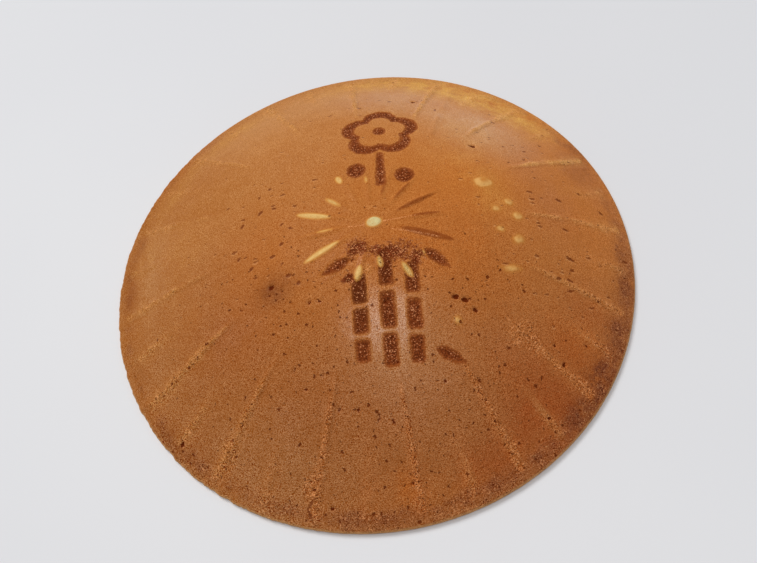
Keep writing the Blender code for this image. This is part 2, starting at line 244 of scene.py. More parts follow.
# Soft patches on the skin: x, y, radius, stretch, direction, amount
patches = {
    "redTone": [
        (36.7, -57.7, 8, 1.5, -55, 1), (41, -50.5, 6, 1.6, -50, 0.9), (22, -63.7, 6, 1.5, 20, 0.8),
        (49.2, -41.4, 6, 1.5, -45, 0.7), (56, -30, 6, 1.5, -30, 0.5), (-70.5, 3, 2.8, 4.6, -88, 0.45),
        (-67.5, 22, 2.4, 2.4, 72, 0.3),
    ],
    "orangeTone": [
        (30, 4, 12, 1.5, 90, 0.4), (27, -20, 11, 1.3, -60, 0.5), (62, -8, 9, 2, 85, 0.4),
        (54, -44, 8, 1.8, -45, 0.8), (4, -69, 5, 4, 0, 0.3), (-58, 47, 4, 3, 50, 0.6),
        (8, -14, 10, 1.2, 0, 0.5), (1, -66, 2.2, 1.8, 90, 0.6), (30, -44, 7, 1.2, 0, 0.3),
        (-22, -2, 12, 1.3, 60, 0.3), (-2, -59, 9, 1.6, 0, 0.15),
    ],
    "goldTone": [
        (20, 65, 7, 1.5, -12, 0.7), (33, 59, 7, 1.5, -26, 1), (46, 50, 7, 1.5, -42, 1),
        (56, 39, 6, 1.5, -55, 0.7), (6, 67, 5, 2.4, 0, 0.6), (-38, 55, 4, 3, 35, 0.55),
        (-56, 37, 4.5, 2.6, 55, 0.4), (-68, 27, 2, 1.8, 68, 0.4), (-50, 8, 14, 1.3, 90, 0.12),
        (30, 20, 8, 1.6, 70, 0.15), (-64, 14, 4, 1.6, 70, 0.2), (36, 4, 5, 1.8, 90, 0.3),
    ],
    # rosy patches: partly a rosier tone of the crust, partly painted sheen
    "rosyTone": [
        (-42, -6, 15, 1.3, 90, 0.4), (-34, -25, 9, 1.2, 0, 0.5), (-47, 56, 5, 1.3, 40, 0.6),
        (-12, 22, 12, 1.3, 30, 0.2), (6, -46, 12, 1.3, 0, 0.4), (-24, -48, 8, 1.4, 20, 0.4),
        (52, 2, 8, 1.6, 90, 0.5), (32, -40, 6, 1.3, 0, 0.4), (48, 20, 7, 1.3, 60, 0.5),
        (66, 18, 5, 2.8, 108, 0.55),
    ],
    # pale patches: partly a paler film on the skin, partly painted sheen where it shines
    "paleTone": [
        (38, 29, 11, 1.2, -35, 0.9), (20, 46, 12, 1.4, -15, 0.4), (-4, 60, 12, 1.6, 5, 0.4),
        (-30, 52, 9, 2.2, 28, 0.3), (-63, 8, 5, 3.2, 86, 0.4), (5, -36, 11, 1.2, 90, 0.4),
        (-58, -30, 8, 1.8, -65, 0.28), (-33, -55, 13, 2, -36, 0.4), (-54, 40, 7, 2.2, 52, 0.15),
    ],
    "burntTone": [
        (-23.4, -16.6, 4, 1.2, 0, 0.7), (58, -42.5, 3.8, 2.2, 54, 0.75), (51.5, -50.5, 4, 2, 46, 1),
        (45, -57, 3.5, 1.8, 38, 0.7), (-58, -44.5, 3, 2.6, -50, 0.35), (66, 17, 5, 1.4, 80, 0.4),
        (70.5, -1, 3.6, 2, 88, 0.15), (70.5, -16, 3.6, 1.8, 78, 0.45), (68, -25.5, 4, 1.8, 70, 0.6),
        (63.5, -34.5, 3.6, 1.8, 62, 0.6), (69, 26, 3.5, 1.5, -66, 0.4), (-71, 2, 2.4, 3.4, -88, 0.3),
        (-67.5, 20.5, 2.2, 2.4, 72, 0.25), (-68, -20, 2.4, 3, -72, 0.25), (31, -28, 12, 1.4, 80, 0.18),
        (30, -66, 3.4, 2.2, 24, 0.35),
    ],
    "scorch": [  # crackled band
        (-1, -10.8, 3, 1.5, 40, 0.65), (9.5, -13.6, 3.6, 1.5, -5, 0.75),
        (-4.2, -18.6, 1.9, 1.1, 0, 0.75), (4, -12.6, 2.2, 1.2, 0, 0.35),
        (13.6, -16.8, 1.6, 1.4, 70, 0.45),
    ],
    "charred": [  # darker floor of the marks
        (-1.2, -23, 5, 1.5, 80, 1), (6, -15, 5, 1.3, 90, 0.5), (12, -18, 4, 1.3, 90, 0.4),
    ],
    "glazed": [  # shines more
        (4.5, -36.5, 14, 1.15, 90, 1), (36, 30, 12, 1.3, -35, 1.2), (16, 50, 11, 1.5, -10, 0.7),
        (-61, -2, 7, 2.6, 88, 0.35), (4.5, -27, 6, 1.5, 90, 0.08),
    ],
    "poreZone": [  # round pores
        (-2, -36, 27, 1.2, 0, 1), (27, -36, 16, 1.4, 60, 0.7), (-22, -18, 14, 1.2, 0, 0.6),
        (-40, -48, 18, 1.6, -40, 0.3), (10, -62, 16, 2, 0, 0.5),
    ],
    "dashZone": [  # drawn-out pores
        (-22, 8, 22, 1.4, 60, 1), (42, 4, 22, 1.5, 80, 0.9), (30, 36, 14, 1.4, -30, 0.7),
        (0, 46, 12, 1.6, 0, 0.35), (56, -26, 12, 1.4, -60, 0.8),
    ],
}

# Fine creases: start, end, half width, rise (below zero for a furrow)
creases = [
    ((36, 26.4), (43.1, 34.2), 0.45, 0.14), ((11.5, -0.5), (23.8, 3.8), 0.5, 0.12),
    ((-7.8, 11.9), (-11.8, 10.6), 0.4, -0.12), ((24.3, 25.8), (29, 38.1), 0.7, 0.28),
    ((37, 60), (29, 38.1), 1.1, 0.24),
]

# Hair-fine rays beside the dot, a painted highlight on their crests: start, end
highlightRays = [((6.6, -4.5), (17, -4.4)), ((8.5, -7.1), (22.3, -12.1)), ((1.9, -4.6), (-4.4, -4.3))]


def placed(name, data):
    made = bpy.data.objects.new(name, data)
    scene.collection.objects.link(made)
    return made


def smooth(low, high, value):
    share = np.clip((value - low) / (high - low), 0.0, 1.0)
    return share * share * (3 - 2 * share)


def domeShape(share):  # 1 at the crown, 0 at the rim
    return (1 - share**2) * (1 + form["shoulder"] * share**2 - form["brimEase"] * share**6)


def topHeight(radius):
    lean = math.radians(form["edgeLean"])
    edgeTop = form["edgeRound"] * (1 + math.cos(lean))
    edgeStart = form["rimRadius"] - form["edgeRound"] * (1 - math.sin(lean))
    lift = edgeTop - form["domeRise"] * domeShape(edgeStart / form["rimRadius"])
    return lift + form["domeRise"] * domeShape(radius / form["rimRadius"])


def undersideHeight(radius):
    crown = topHeight(0.0) - form["shell"]
    return crown * domeShape(radius / (form["rimRadius"] - form["lipWidth"]))


def rimDistance(angle):  # from the crown to the round outline
    x, y = form["crown"]
    along = x * np.cos(angle) + y * np.sin(angle)
    return np.sqrt(along**2 + form["rimRadius"]**2 - x * x - y * y) - along


def slowWave(angle, share):  # warp of the whole shell, nothing from the lip outwards
    wave = np.sin(2 * angle + 0.9) + 0.6 * np.sin(3 * angle + 2.2) + 0.4 * np.cos(5 * angle)
    lipShare = 1 - form["lipWidth"] / form["rimRadius"]
    return form["slowWave"] * wave * share * np.maximum(0, 1 - (share / lipShare)**4)


def noiseAt(points, size, seed, octaves=1):  # smooth, about -1 to 1, features of size millimetres
    shift = Vector((13.7 * seed, -7.9 * seed, 3.1 * seed))
    values = []
    for point in points:
        place = Vector(point) / size + shift
        value = noise.noise(place)
        for octave in range(1, octaves):
            value += noise.noise(place * 2**octave) / 2**octave
        values.append(value)
    return np.array(values)


# Rings of vertices from the crown outwards, round the edge and back under to the middle
def sectionRings():
    lean = math.radians(form["edgeLean"])
    middle = form["rimRadius"] - form["edgeRound"]
    outer = middle + form["edgeRound"] * math.sin(lean)
    rings = []  # radius, height, vertices round, part of the cracker
    for ring in range(density["topRings"] + 1):
        radius = outer * ring / density["topRings"]
        rings.append((radius, topHeight(radius), max(1, 6 * ring), 1))
    around = 6 * density["topRings"]
    first = math.pi / 2 - lean
    for step in range(1, density["edgeSteps"] + 1):
        angle = first - (first + math.pi / 2) * step / density["edgeSteps"]
        height = form["edgeRound"] * (1 + math.sin(angle))
        rings.append((middle + form["edgeRound"] * math.cos(angle), height, around, 0))
    lip = form["rimRadius"] - form["lipWidth"]
    for ring in range(density["underRings"], -1, -1):
        radius = lip * ring / density["underRings"]
        count = max(1, 6 * ring)
        rings.append((radius, undersideHeight(radius), count, -1))
    return rings


def stitched(first, firstCount, second, secondCount):
    faces = []
    i = 0
    j = 0
    firstSteps = firstCount if firstCount > 1 else 0
    secondSteps = secondCount if secondCount > 1 else 0
    while i < firstSteps or j < secondSteps:
        a = first + i % firstCount
        b = second + j % secondCount
        onFirst = i < firstSteps and (j >= secondSteps or (i + 1) * secondSteps <= (j + 1) * firstSteps)
        if onFirst:
            i += 1
            faces.append((a, b, first + i % firstCount))
        else:
            j += 1
            faces.append((a, b, second + j % secondCount))
    return faces


def cornered(a, b):  # where both are below zero, with rounded corners
    corner = marks["corner"]
    return np.hypot(np.maximum(a + corner, 0), np.maximum(b + corner, 0)) \
        + np.minimum(np.maximum(a, b) + corner, 0) - corner


def strokeGap(u, v):  # signed distance to the nearest pressed stroke, in the marks' own directions
    dv = v - marks["blossomMiddle"]
    radius = np.hypot(u, dv)
    petal = turn / marks["blossomPetals"]
    off = (np.arctan2(dv, u) - math.pi / 2 + petal / 2) % petal - petal / 2
    sides = []
    for reach, petalRadius in (marks["blossomOutside"], marks["blossomInside"]):
        sides.append(reach * np.cos(off) + np.sqrt(petalRadius**2 - (reach * np.sin(off))**2))
    gap = np.maximum(radius - sides[0], sides[1] - radius)
    gap = np.minimum(gap, radius - marks["blossomEye"])

    top = marks["blossomMiddle"] - sum(marks["blossomOutside"]) * marks["stemStart"]
    foot = top - marks["stemLength"]
    thin, thick = (width / 2 for width in marks["stemWidths"])
    half = thin + (thick - thin) * np.clip((top - v) / marks["stemLength"], 0, 1)
    gap = np.minimum(gap, cornered(np.abs(u) - half, np.maximum(v - top, foot - v)))
    for x, y in marks["buds"]:
        gap = np.minimum(gap, np.hypot(u - x, v - y) - marks["budRadius"])

    joints = [0.0, *marks["nodeShares"], 1.0]
    for place, shift, length in zip(marks["culmPlaces"], marks["culmShifts"], marks["culmLengths"]):
        culmTop = marks["culmTop"] + shift
        for upper, lower in zip(joints, joints[1:]):
            high = culmTop - length * upper - (marks["nodeGap"] if upper > 0 else 0)
            low = culmTop - length * lower
            slant = marks["culmSlant"] if upper == 0 else 0
            highHere = high - slant * (place + marks["stroke"] / 2 - u) / marks["stroke"]
            across = np.abs(u - place) - marks["stroke"] / 2
            gap = np.minimum(gap, cornered(across, np.maximum(v - highHere, low - v)))

    for x, y, degrees in marks["leaves"]:
        cos = math.cos(math.radians(degrees))
        sin = math.sin(math.radians(degrees))
        along = ((u - x) * cos + (v - y) * sin) / marks["leafLength"]
        across = np.abs((v - y) * cos - (u - x) * sin)
        half = marks["leafWidth"] * np.interp(along, *marks["leafOutline"])
        past = np.maximum(along - 1, -along) * marks["leafLength"]
        gap = np.minimum(gap, np.maximum(across - half, past))
    return gap


def stretchedDistance(x, y, spot):  # from a spot's middle; its longer side counts the same as its width
    cos = math.cos(math.radians(spot[4]))
    sin = math.sin(math.radians(spot[4]))
    along = ((x - spot[0]) * cos + (y - spot[1]) * sin) / spot[3]
    across = (y - spot[1]) * cos - (x - spot[0]) * sin
    return np.hypot(along, across)


def petalGap(x, y, petals):  # signed distance to the nearest of some petals round the crown
    fromCrown = np.hypot(x - form["crown"][0], y - form["crown"][1])
    turned = np.arctan2(y - form["crown"][1], x - form["crown"][0])
    gap = np.full(len(x), 9.0)
    for direction, begin, end, half in petals:
        away = np.angle(np.exp(1j * (turned - math.radians(direction))))
        line = (fromCrown * np.cos(away) - begin) / (end - begin)
        width = half * np.sqrt(np.clip(1 - (2 * line - 1)**2, 0, 1))
        past = np.maximum(line - 1, -line) * (end - begin)
        gap = np.minimum(gap, np.maximum(np.abs(fromCrown * np.sin(away)) - width, past))
    return gap


def softPatches(x, y, spots):
    total = np.zeros(len(x))
    for spot in spots:
        away = stretchedDistance(x, y, spot) / spot[2]
        total += spot[5] * np.exp(-away**2)
    return np.clip(total, 0, 1)


def layered(points, layers):
    return sum(height * noiseAt(points, size, seed) for size, seed, height in layers)


def crackerVertices():  # radius, height, angle and part of each vertex, and the faces between the rings
    rings = sectionRings()
    radius, height, angle, part = [], [], [], []
    starts = []
    for ringRadius, ringHeight, count, kind in rings:
        starts.append(len(radius))
        for step in range(count):
            radius.append(ringRadius)
            height.append(ringHeight)
            angle.append(turn * step / count)
            part.append(kind)
    faces = []
    for number in range(len(rings) - 1):
        faces += stitched(starts[number], rings[number][2], starts[number + 1], rings[number + 1][2])
    return *(np.array(values) for values in (radius, height, angle, part)), faces


def crackerOutline(angle, share):  # x and y of each vertex, the rim ragged along its left half
    outline = [(form["rimRadius"] * math.cos(a), form["rimRadius"] * math.sin(a), 0) for a in angle]
    slow = np.sin(2 * angle + 0.6) + 0.7 * np.sin(3 * angle - 1.1) + 0.4 * np.sin(5 * angle)
    ease = unevenness["raggedEase"]
    fadeFrom, fadeTo = (form["raggedTo"] - before for before in unevenness["raggedFade"])
    ragged = smooth(form["raggedFrom"] - ease, form["raggedFrom"] + ease, np.degrees(angle))
    ragged *= 1 - smooth(fadeFrom, fadeTo, np.degrees(angle))
    chips = layered(outline, unevenness["chips"]) - unevenness["chipsInwards"]
    evenSide = unevenness["evenSideChips"]
    change = form["outlineWander"] * slow / 2
    change = change + form["raggedDepth"] * chips * (evenSide + (1 - evenSide) * ragged)
    distance = share * rimDistance(angle) + change * share**unevenness["rimPull"]
    x = form["crown"][0] + distance * np.cos(angle)
    y = form["crown"][1] + distance * np.sin(angle)
    x -= (x.min() + x.max()) / 2
    y -= (y.min() + y.max()) / 2
    return x, y


def spokeCrests(angle, share, flat, shown):  # full crest, the same with gaps, its wear and its skirt
    spacing = turn / ribs["count"]
    number = np.round(angle / spacing).astype(int)
    off = np.abs(angle - number * spacing) / math.radians(ribs["halfAngle"])
    number %= ribs["count"]
    off *= 1 + layered(flat, ribs["sideWobble"])
    start = np.where(number % 2 == 0, ribs["longStart"], ribs["shortStart"])
    grown = smooth(0, 1, (share - start) / ribs["growth"])
    worn = 1 - (1 - ribs["rimShare"]) * smooth(ribs["end"] - ribs["fade"], ribs["end"], share)
    gone = 1 - smooth(ribs["rimEnd"] - ribs["fade"], ribs["rimEnd"], share)
    strength = np.array(ribs["strength"])[number]
    crest = strength * grown * gone * np.clip(1 - off**2, 0, 1) * shown
    skirt = strength * smooth(*ribs["skirtFrom"], share) * gone
    skirt = skirt * np.clip(1 - (off / ribs["skirtWidth"])**2, 0, 1) * shown
    return crest, crest * (ribs["crestShare"] + layered(flat, ribs["crestWobble"])), worn, skirt


def panelShades(angle, share, shown):  # about -1 to 1, one value for each panel, blended at the spokes
    count = ribs["count"] // 2
    shade = np.random.default_rng(panels["seed"]).uniform(-1, 1, count)
    across = (angle / turn * count) % 1
    left = (angle // (turn / count)).astype(int) % count
    blend = smooth(1 - panels["blend"], 1.0, across) * 0.5
    blend = blend + (smooth(0.0, panels["blend"], across) - 1) * 0.5
    following = shade[(left + 1) % count]
    change = np.where(across > 0.5, following - shade[left], shade[left] - shade[left - 1])
    return (shade[left] + change * blend) * smooth(*panels["from"], share) * shown


def petalRidges(angle, fromCrown):  # 1 on the crest of each of the rosette's petals
    sixteenth = turn / (ribs["count"] // 2)
    off = np.abs(angle - np.round(angle / sixteenth) * sixteenth) * fromCrown
    along = (fromCrown - rosette["petalStart"]) / (rosette["petalEnd"] - rosette["petalStart"])
    lens = np.sin(math.pi * np.clip(along, 0, 1))
    return np.clip(1 - (off / (rosette["petalHalfWidth"] * np.maximum(lens, 0.05)))**2, 0, 1) * lens


def creaseRise(x, y, crease):
    (ax, ay), (bx, by), half, rise = crease
    span = (bx - ax)**2 + (by - ay)**2
    along = np.clip(((x - ax) * (bx - ax) + (y - ay) * (by - ay)) / span, 0, 1)
    away = np.hypot(x - ax - along * (bx - ax), y - ay - along * (by - ay))
    return rise * np.exp(-(away / half)**2) * smooth(0, smallForms["creaseFade"], 1 - along)


def raySides(x, y, top):  # signed distance from the nearest ray of painted highlight, and how near it is
    reach = smallForms["rayReach"]
    rayAcross = np.full(len(x), reach)
    rayNear = np.zeros(len(x))
    for (ax, ay), (bx, by) in highlightRays:
        length = math.hypot(bx - ax, by - ay)
        along = ((x - ax) * (bx - ax) + (y - ay) * (by - ay)) / length
        across = ((y - ay) * (bx - ax) - (x - ax) * (by - ay)) / length
        near = np.exp(-(across / smallForms["rayWidth"])**2) * smooth(*smallForms["rayStart"], along) * top
        near *= smooth(length, length * smallForms["rayFade"], along)
        rayAcross = np.where(near > rayNear, np.clip(across, -reach, reach), rayAcross)
        rayNear = np.maximum(rayNear, near)
    return rayAcross, rayNear


def markDistance(x, y, top):  # signed distance to the pressed marks, far away anywhere but on the top
    tilt = math.radians(marks["tilt"])
    dx = x - marks["axis"][0]
    dy = y - marks["axis"][1]
    u = dx * math.cos(tilt) + dy * math.sin(tilt)
    v = dy * math.cos(tilt) - dx * math.sin(tilt)
    return strokeGap(u, v) + np.where(top, 0, 50)


def breakBubbles(x, y, z, top, flat):  # sinks the pits into z and returns the distance to the nearest
    pitGap = np.full(len(x), 9.0)
    tree = KDTree(len(x))
    for index in range(len(x)):
        tree.insert((x[index], y[index], 0 if top[index] else 99), index)
    tree.balance()
    ragged = layered(flat, smallForms["pitRagged"])
    wallTop, wallFoot = smallForms["pitWall"]
    rimWidth, rimRise = smallForms["pitRim"]
    for pit in pits:
        reach = pit[2] * pit[3] + smallForms["pitReach"]
        near = [found[1] for found in tree.find_range((pit[0], pit[1], 0), reach)]
        away = stretchedDistance(x[near], y[near], pit) - pit[2] + ragged[near]
        pitGap[near] = np.minimum(pitGap[near], away)
        deep = smooth(wallTop, wallFoot * pit[2], away)
        z[near] -= min(smallForms["pitDeepest"], smallForms["pitDepth"] * pit[2]) * deep
        z[near] += rimRise * np.exp(-((away - rimWidth) / rimWidth)**2)
    return pitGap


def nearestSpot(x, y, spots, shift=(0, 0), scale=1.0):  # signed distance to the nearest spot's edge
    gap = np.full(len(x), 9.0)
    for spot in spots:
        moved = (spot[0] + shift[0], spot[1] + shift[1], *spot[2:])
        gap = np.minimum(gap, stretchedDistance(x, y, moved) - scale * spot[2])
    return gap


def buildCracker():
    radius, height, angle, part, faces = crackerVertices()
    share = radius / form["rimRadius"]
    top = part == 1
    under = part == -1
    shown = np.where(under, 0.0, 1.0)
    x, y = crackerOutline(angle, share)
    flat = [(a, b, unevenness["partShift"] * c) for a, b, c in zip(x, y, part)]
    fromCrown = np.hypot(x - form["crown"][0], y - form["crown"][1])

    # Warped shell with dents and a fine skin
    z = height + slowWave(angle, share)
    lying = smooth(*unevenness["flatRim"], share)
    z += lying * layered(flat, unevenness["dents"])
    fine = noiseAt(flat, *unevenness["skin"])
    z += np.where(top, unevenness["skinRise"] * fine, 0)
    z += np.where(under, lying * unevenness["undersideRise"] * fine, 0)

    # Spokes with crests that come and go, rosette and dot
    crest, ribLine, worn, ribSkirt = spokeCrests(angle, share, flat, shown)
    z += ribs["rise"] * ribLine * worn * (1 + ribs["grainShare"] * fine)
    z += np.where(top, rosette["petalRise"] * petalRidges(angle, fromCrown), 0)
    z += np.where(top, rosette["dotRise"] * smooth(*rosette["dotEdge"], fromCrown), 0)
    dotGap = stretchedDistance(x, y, rosette["dot"]) - rosette["dot"][2]
    pale = np.minimum(dotGap, petalGap(x, y, rosette["palePetals"]))

    # Blisters, creases, rays and pressed marks
    shiftX, shiftY, topSize = smallForms["blisterTop"]
    spotTops = np.full(len(x), 9.0)
    for spot in blisters:
        away = stretchedDistance(x, y, spot)
        swelling = np.exp(-(away / spot[2])**2 * smallForms["blisterRound"])
        z += np.where(top, smallForms["blisterRise"] * spot[2] * swelling, 0)
        upper = (shiftX * spot[2], shiftY * spot[2])
        spotTops = np.minimum(spotTops, nearestSpot(x, y, [spot], upper, topSize))
    for crease in creases:
        z += creaseRise(x, y, crease) * top
    rayAcross, rayNear = raySides(x, y, top)
    markGap = markDistance(x, y, top)
    z -= marks["depth"] * smooth(*marks["wall"], markGap) * (1 + marks["floorGrain"] * fine)

    # Crumbly patches, broken bubbles and nicks
    crumbs = softPatches(x, y, [(*patch, 1.0) for patch in crumbPatches]) * top
    rimGrain = smooth(*unevenness["rimGrain"], share) * top
    scorch = softPatches(x, y, patches["scorch"]) * top
    scorchShare, rimShare, ribShare = unevenness["crumbShares"]
    rough = np.clip(crumbs + scorchShare * scorch + rimShare * rimGrain + ribShare * ribLine, 0, 1)
    grainy = rough * unevenness["crumbRise"] * noiseAt(flat, *unevenness["crumb"])
    z += grainy * (1 - smooth(*unevenness["edgeStaysSmooth"], share))
    pitGap = breakBubbles(x, y, z, top, flat)
    nickGap = nearestSpot(x, y, nicks)
    z -= smallForms["nickDepth"] * smooth(*smallForms["nickWall"], nickGap) * top
    z = np.maximum(z, 0)

    mesh = bpy.data.meshes.new("crackerCrust")
    mesh.from_pydata(np.stack([x, y, z], 1) * mm, [], faces)
    mesh.shade_smooth()
    gaps = {  # signed distances, and how far each is kept
        "nickGap": (nickGap, 2),
        "nickHighlight": (nearestSpot(x, y, nicks, smallForms["nickHighlight"]), 2),
        "paleGap": (pale, 3),
        "brownGap": (petalGap(x, y, rosette["darkPetals"]), 3),
        "spotGap": (nearestSpot(x, y, blisters), 3),
        "spotTop": (spotTops, 3),
    }
    layers = {name: softPatches(x, y, spots) * shown for name, spots in patches.items()}
    layers["redTone"] *= 1 - np.clip(1.5 * crest, 0, 1)  # spokes and rim keep their own tone
    layers["goldTone"] *= 1 - 0.3 * smooth(*rimBands["lessGold"], share)
    layers.update({
        "rimShare": share,
        "panel": panelShades(angle, share, shown),
        "ribLine": np.clip(ribLine, 0, 1),
        "ribSkirt": np.clip(ribSkirt, 0, 1),
        "markGap": np.clip(markGap, -3, 3),
        "pitGap": np.clip(pitGap, -2, 2),
        "rayAcross": rayAcross,
        "rayNear": rayNear,
        "crumbs": crumbs,
        "scorch": scorch,
        "underside": np.where(under, 1.0, 0.0),
        "edgeWall": np.where(part == 0, smooth(*smallForms["edgeWall"], height), 0.0),
    })
    for name, (gap, reach) in gaps.items():
        layers[name] = np.clip(gap + np.where(top, 0, 9), -reach, reach)
    for name, values in layers.items():
        layer = mesh.attributes.new(name, "FLOAT", "POINT")
        layer.data.foreach_set("value", values.astype(np.float32))
    cracker = placed("crackerCrust", mesh)
    print("cracker: %d vertices, %d triangles" % (len(x), len(faces)))
    return cracker


class Wire:  # a socket in a growing material, so that shader maths reads as plain expressions
    def __init__(self, finish, socket):
        self.finish = finish
        self.socket = socket

    def maths(self, operation, a, b):
        return self.finish.node("Math", {"operation": operation}, {0: a, 1: b})

    def __add__(self, other):
        return self.maths("ADD", self, other)

    def __sub__(self, other):
        return self.maths("SUBTRACT", self, other)

    def __rsub__(self, other):
        return self.maths("SUBTRACT", other, self)

    def __mul__(self, other):
        return self.maths("MULTIPLY", self, other)

    __radd__ = __add__
    __rmul__ = __mul__

    def step(self, low, high):  # 0 at low, 1 at high, eased at both ends
        ease = {"interpolation_type": "SMOOTHSTEP"}
        return self.finish.node("MapRange", ease, {0: self, 1: low, 2: high, 3: 0.0, 4: 1.0})

    def atMost(self, other):
        return self.maths("MINIMUM", self, other)

    def atLeast(self, other):
        return self.maths("MAXIMUM", self, other)


class Finish:  # one material; every node comes from node()
    def __init__(self, name):
        self.material = bpy.data.materials.new(name)
        self.material.use_nodes = True
        self.tree = self.material.node_tree
        self.tree.nodes.clear()
        self.layers = {}
        self.place = self.node("TexCoord", {}, {}, "Object")

    def node(self, kind, settings, sockets, output=0):
        made = self.tree.nodes.new("ShaderNode" + kind)
        for name, value in settings.items():
            setattr(made, name, value)
        for name, value in sockets.items():
            if isinstance(value, Wire):
                self.tree.links.new(value.socket, made.inputs[name])
            else:
                made.inputs[name].default_value = value
        return Wire(self, made.outputs[output]) if made.outputs else None

    def layer(self, name):  # a value kept on the mesh
        if name not in self.layers:
            self.layers[name] = self.node("Attribute", {"attribute_name": name}, {}, "Fac")
        return self.layers[name]

    def noise(self, size, detail=1, rough=0.5, seed=0):  # about -1 to 1, size in millimetres
        sockets = {"Vector": self.place, "W": seed, "Scale": metre / size}
        sockets.update({"Detail": detail, "Roughness": rough})
        return (self.node("TexNoise", {"noise_dimensions": "4D"}, sockets, "Fac") - 0.5) * 3.0

    def spots(self, place, cell, share, size):  # a spot in a share of the cells, cell in millimetres
        sockets = {"Vector": place, "Scale": metre / cell}
        away = self.node("TexVoronoi", {"voronoi_dimensions": "2D"}, sockets, "Distance")
        tone = Wire(self, away.socket.node.outputs["Color"])
        dice = self.node("SeparateColor", {}, {"Color": tone}, "Red")
        growth = Wire(self, dice.socket.node.outputs["Green"])
        grown = (dice - 1.0 + share) * 14.0  # below zero in a cell without a spot
        radius = grown.atMost(growth * growth * 1.1 + 0.4) * size
        return (away - radius).step(0.04, -0.09)

    def vector(self, operation, sockets, output=0):
        return self.node("VectorMath", {"operation": operation}, sockets, output)

    def mix(self, share, first, second, blend="MIX"):
        settings = {"data_type": "RGBA", "blend_type": blend}
        return self.node("Mix", settings, {0: share, 6: first, 7: second}, 2)

    def close(self, shader):
        self.node("OutputMaterial", {}, {"Surface": shader})
        return self.material


def tint(red, green, blue):  # an 8-bit screen colour as the linear colour that shaders use
    def linear(value):
        value /= 255
        return value / 12.92 if value <= 0.04045 else ((value + 0.055) / 1.055)**2.4
    return (linear(red), linear(green), linear(blue), 1.0)


# The crust's colours, as screen colours
crustTones = {
    "amber": (190, 112, 48),
    "caramel": (198, 132, 72),
    "brown": (176, 107, 56),
    # rosy: partly the crust's rosier tone, partly painted sheen
    "rosy": (174, 106, 66),
    "orange": (196, 104, 32),
    "red": (162, 76, 28),
    "gold": (216, 156, 74),
    # pale: partly the paler skin, partly painted sheen
    "pale": (218, 168, 116),
    "burnt": (114, 56, 30),
    "rim": (142, 80, 46),
    "rimToast": (190, 130, 74),
    "rib": (200, 112, 52),
    # the spokes' lighter tone on the far and left side, a painted highlight where light falls on them
    "ribLitSide": (218, 152, 82),
    "granule": (254, 174, 114),
    "granuleShade": (88, 32, 4),
    "flake": (250, 180, 118),
    "cream": (238, 198, 124),
    "dot": (226, 216, 158),
    "creamEdge": (216, 148, 70),
    "blister": (208, 136, 60),
    "blisterTop": (236, 180, 106),
    "wall": (214, 160, 104),
    "petal": (130, 54, 12),
    "mark": (70, 16, 0),
    "markGround": (136, 62, 24),
    "markEdge": (158, 82, 34),
    "markFlake": (246, 170, 120),
    "scorch": (134, 60, 26),
    "char": (70, 24, 4),
    # dark tones of pits, pores and nicks: painted shade inside these hollows
    "pit": (100, 32, 0),
    "creviceShade": (112, 42, 4),
    "under": (196, 130, 68),
}

# The skin: sizes of its noises and grains in millimetres, how its colour varies, and its shine
skin = {
    "slow": 26,
    "medium": 7,
    "patchy": 3.6,
    "small": 1.6,
    "grain": 0.27,
    "grainShade": (0.66, 1.14, 2.0),  # how strongly the mottling shows in red, green and blue
    "drift": (3.0, 4.4, 6.4),  # how much lighter each gets per metre to the right
    "panelShade": 0.045,
    "flake": 0.29,
    "speck": 0.31,
    "granule": 0.44,
    "markGrain": 0.38,
    "charGrain": 0.65,
    "roughness": 0.62,
    "gloss": 0.02,
    "glaze": 0.68,
    "glazeRoughness": 0.22,
    "shine": 0.04,
}

# Pores: the cells that may hold one, in millimetres, and a pore's radius as a share of its cell
pores = {
    "hole": 1.7,
    "holeRadius": 0.155,
    # share of cells with a pore: anywhere, more in a pore zone, on rough places, in a row along the rim
    "holeShares": (0.02, 0.3, 0.3, 0.25),
    "dash": 1.5,
    "dashRadius": 0.22,
    "dashShare": 0.22,
    "dashSquash": (0.5, 1.2, 1.0),
    "dashHighlight": (0.08, 0.3, 0.0),  # where the painted highlight on the pore's lip lies, beside the pore
    "bendSize": 0.7,
    "bend": 1.1,
}

# Bands of the rim, from and to, as shares of the radius
rimBands = {
    "rough": (0.925, 0.968),
    "outer": (0.962, 0.99),
    "lessGold": (0.955, 0.975),
    "poresFrom": (0.915, 0.935),
    "poresTo": (0.965, 0.945),
}

# How far each feature's colour covers the skin
cover = {
    "granule": 0.7,
    "granuleShade": 0.65,
    "blister": 0.7,
    "mark": 0.95,
    "markChar": 0.6,
    "scorchChar": 0.8,
    "scorchFlake": 0.65,
    "creamEdge": 0.85,
    "hole": 0.9,
    # lip: painted highlight beside pores and nicks
    "pit": 0.95,
    "lip": 0.35,
    "dash": 0.6,
    "nick": 0.75,
    "underside": 0.8,
}

# How strongly each soft patch shows, and how the noises change that
patchShares = {
    "rosy": (0.7, {"medium": 0.4}),
    "orange": (0.6, {"medium": 0.5, "patchy": 0.2}),
    "pale": (0.5, {"medium": 0.15}),
    "gold": (0.65, {"medium": 0.6, "patchy": 0.7, "small": 0.4}),
    "red": (0.7, {"medium": 0.35, "patchy": 0.15}),
    "burnt": (0.75, {"small": 0.6, "patchy": 0.6}),
}

